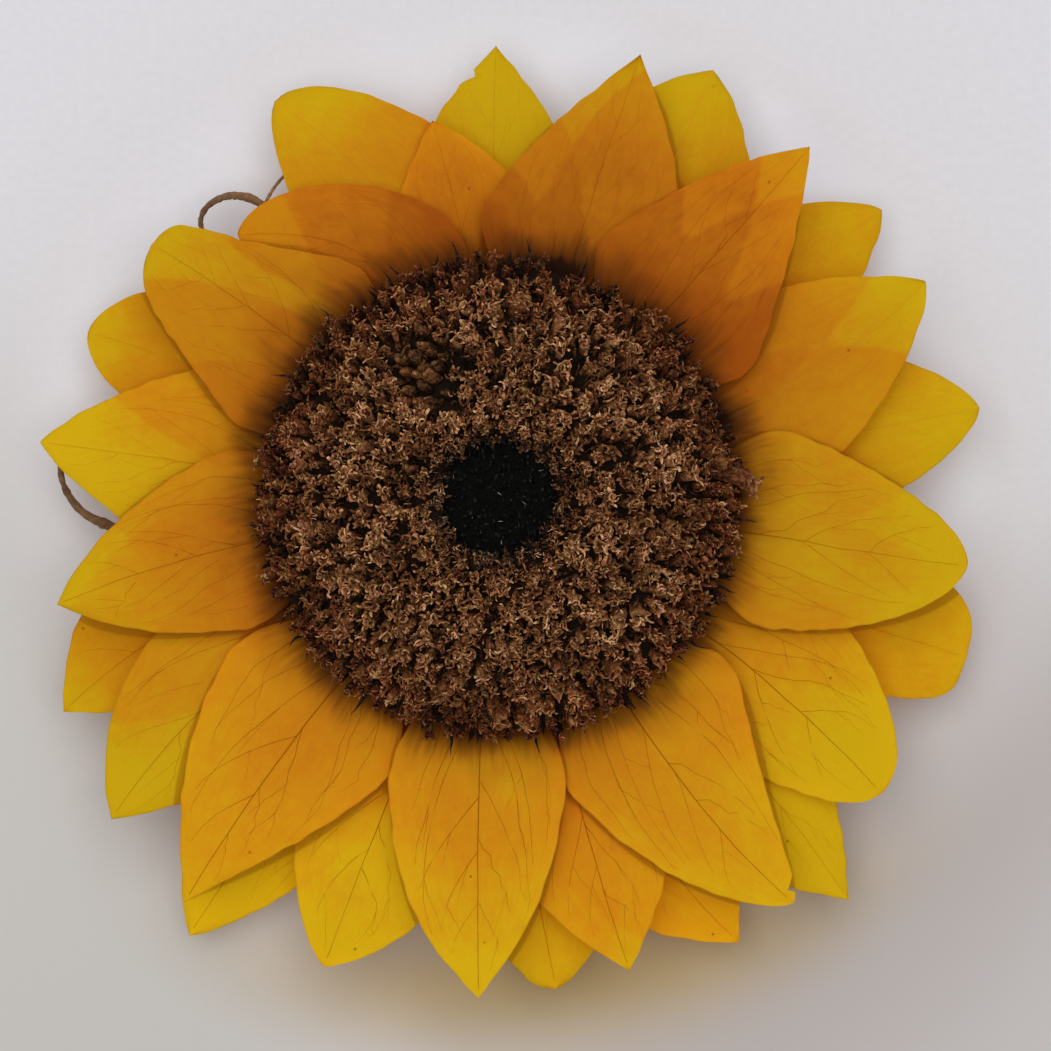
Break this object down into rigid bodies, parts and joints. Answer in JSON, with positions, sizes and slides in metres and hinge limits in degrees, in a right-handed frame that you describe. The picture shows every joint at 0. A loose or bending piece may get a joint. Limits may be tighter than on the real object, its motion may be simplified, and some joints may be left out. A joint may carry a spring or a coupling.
{
  "type": "dried sunflower head",
  "caption": "Preserved sunflower head lying face up on its cut stem: layered golden petals round a brown floret disc with a black heart, and dried bracts behind.",
  "frame": {"origin": "centre of the flat cut end of the stem, which the head rests on", "axes": "+Z out of the cut towards the flower's face, up when the head lies face up; +Y towards the petal that stands at the top of the picture"},
  "size_m": [0.1315, 0.1326, 0.0296],
  "materials": {
    "dried_green": "dry, matt, finely ribbed olive brown plant tissue",
    "petal_yellow": "thin, slightly translucent dried petal, yellow",
    "petal_gold": "thin, slightly translucent dried petal, golden",
    "petal_orange": "thin, slightly translucent dried petal, orange",
    "floret_brown": "dry, matt, crumpled brown florets",
    "heart_black": "dry, matt, near black unopened buds"
  },
  "bodies": {
    "root": {"receptacle_with_bracts": "dried_green", "petal_back_01": "petal_yellow", "petal_back_02": "petal_yellow", "petal_back_03": "petal_yellow", "petal_back_04": "petal_yellow", "petal_back_05": "petal_yellow", "petal_back_06": "petal_yellow", "petal_back_07": "petal_yellow", "petal_back_08": "petal_yellow", "petal_back_09": "petal_yellow", "petal_back_10": "petal_yellow", "petal_back_11": "petal_yellow", "petal_back_12": "petal_yellow", "petal_middle_1": "petal_gold", "petal_middle_2": "petal_gold", "petal_middle_3": "petal_gold", "petal_middle_4": "petal_gold", "petal_middle_5": "petal_gold", "petal_middle_6": "petal_gold", "petal_middle_7": "petal_gold", "petal_middle_8": "petal_gold", "petal_front_1": "petal_orange", "petal_front_2": "petal_orange", "petal_front_3": "petal_orange", "petal_front_4": "petal_orange", "petal_front_5": "petal_orange", "petal_front_6": "petal_orange", "petal_front_7": "petal_orange", "petal_front_8": "petal_orange", "disc_florets": "floret_brown", "disc_heart": "heart_black"}
  },
  "joints": []
}
